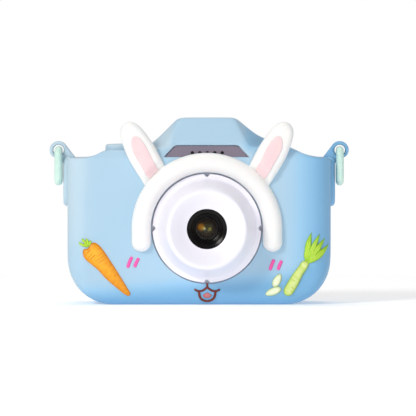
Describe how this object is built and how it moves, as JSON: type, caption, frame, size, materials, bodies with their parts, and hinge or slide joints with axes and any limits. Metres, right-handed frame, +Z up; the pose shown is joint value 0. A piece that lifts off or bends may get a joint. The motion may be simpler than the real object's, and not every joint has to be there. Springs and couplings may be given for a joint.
{
  "type": "compact digital camera",
  "caption": "Child's compact digital camera in a soft cover with rabbit-ear trim, lens barrel, rear screen, sprung keys and swinging strap links.",
  "frame": {"origin": "middle of the bounding box in plan, at the height of the foot (Z = 0 is the surface it stands on)", "axes": "+X across the front to the subject's right-hand side of the picture, -Y out of the lens, +Z up"},
  "size_m": [0.1114, 0.046, 0.0695],
  "materials": {
    "silicone_blue": "satin moulded silicone",
    "silicone_white": "satin moulded silicone",
    "silicone_pink": "satin moulded silicone",
    "silicone_orange": "satin moulded silicone",
    "silicone_leaf": "satin moulded silicone",
    "silicone_pale_green": "satin moulded silicone",
    "silicone_cream": "satin moulded silicone",
    "silicone_magenta": "satin moulded silicone",
    "silicone_brown": "satin moulded silicone",
    "silicone_rose": "satin moulded silicone",
    "shell_plastic": "fine satin moulding",
    "key_plastic": "gloss moulding",
    "grille_plastic": "satin moulding",
    "mint_plastic": "satin moulding",
    "black_plastic": "fine matt moulding",
    "ring_metal": "turned",
    "steel": "stamped sheet",
    "coated_glass": "coated optical glass",
    "screen_plastic": "clear plastic printed black behind",
    "sensor": "polished die under a lid",
    "circuit_board": "solder mask",
    "chip": "moulded package",
    "cell_foil": "heat-sealed foil",
    "wire": "wire insulation",
    "display": "display stack",
    "ribbon": "flexible circuit film"
  },
  "bodies": {
    "camera": {"silicone_case": "silicone_blue", "headband": "silicone_white", "left_ear": "silicone_white", "right_ear": "silicone_white", "left_inner_ear": "silicone_pink", "right_inner_ear": "silicone_pink", "carrot_root": "silicone_orange", "carrot_leaves": "silicone_leaf", "radish_root": "silicone_pale_green", "radish_leaves": "silicone_leaf", "radish_slices": "silicone_cream", "blush_marks": "silicone_magenta", "mouth_line": "silicone_brown", "tongue": "silicone_rose", "front_shell": "shell_plastic", "rear_shell": "shell_plastic", "speaker_grille": "grille_plastic", "shell_screws": "steel", "lens_barrel": "shell_plastic", "lens_tube": "black_plastic", "cover_glass": "coated_glass", "lens_ring": "ring_metal", "front_lens": "coated_glass", "rear_lens": "coated_glass", "image_sensor": "sensor", "sensor_board": "circuit_board", "sensor_ribbon": "ribbon", "main_board": "circuit_board", "processor_chip": "chip", "memory_chip": "chip", "battery": "cell_foil", "battery_leads": "wire", "speaker": "black_plastic", "microphone": "steel", "lcd_panel": "display", "lcd_ribbon": "ribbon", "usb_socket": "steel", "card_socket": "steel", "key_board": "circuit_board", "key_switches": "steel", "shutter_switch": "black_plastic", "screen_window": "screen_plastic", "selfie_window": "screen_plastic", "selfie_camera": "black_plastic"},
    "shutter": {"shutter_button": "silicone_blue", "shutter_plunger": "shell_plastic"},
    "card": {"memory_card": "black_plastic"},
    "left_link": {"strap_link_left": "mint_plastic"},
    "right_link": {"strap_link_right": "mint_plastic"},
    "key_up_body": {"key_up": "key_plastic"},
    "key_down_body": {"key_down": "key_plastic"},
    "key_right_body": {"key_right": "key_plastic"},
    "key_left_body": {"key_left": "key_plastic"},
    "key_ok_body": {"key_ok": "key_plastic"},
    "key_mode_body": {"key_mode": "key_plastic"},
    "key_power_body": {"key_power": "key_plastic"}
  },
  "joints": [
    {"name": "shutter_press", "type": "slide", "parent": "camera", "child": "shutter", "axis": [0, 0, -1], "range_m": [0, 0.001], "stiffness_N_per_m": 600},
    {"name": "card_eject", "type": "slide", "parent": "camera", "child": "card", "axis": [1, 0, 0], "range_m": [0, 0.014]},
    {"name": "left_link_swing", "type": "hinge", "parent": "camera", "child": "left_link", "pos_m": [-0.0524, 0.004, 0.0572], "axis": [0, 1, 0], "range_deg": [0, 180]},
    {"name": "right_link_swing", "type": "hinge", "parent": "camera", "child": "right_link", "pos_m": [0.0524, 0.004, 0.0572], "axis": [0, -1, 0], "range_deg": [0, 180]},
    {"name": "key_up_press", "type": "slide", "parent": "camera", "child": "key_up_body", "axis": [0, -1, 0], "range_m": [0, 0.0004], "stiffness_N_per_m": 1000},
    {"name": "key_down_press", "type": "slide", "parent": "camera", "child": "key_down_body", "axis": [0, -1, 0], "range_m": [0, 0.0004], "stiffness_N_per_m": 1000},
    {"name": "key_right_press", "type": "slide", "parent": "camera", "child": "key_right_body", "axis": [0, -1, 0], "range_m": [0, 0.0004], "stiffness_N_per_m": 1000},
    {"name": "key_left_press", "type": "slide", "parent": "camera", "child": "key_left_body", "axis": [0, -1, 0], "range_m": [0, 0.0004], "stiffness_N_per_m": 1000},
    {"name": "key_ok_press", "type": "slide", "parent": "camera", "child": "key_ok_body", "axis": [0, -1, 0], "range_m": [0, 0.0004], "stiffness_N_per_m": 1000},
    {"name": "key_mode_press", "type": "slide", "parent": "camera", "child": "key_mode_body", "axis": [0, -1, 0], "range_m": [0, 0.0004], "stiffness_N_per_m": 1000},
    {"name": "key_power_press", "type": "slide", "parent": "camera", "child": "key_power_body", "axis": [0, -1, 0], "range_m": [0, 0.0004], "stiffness_N_per_m": 1000}
  ]
}
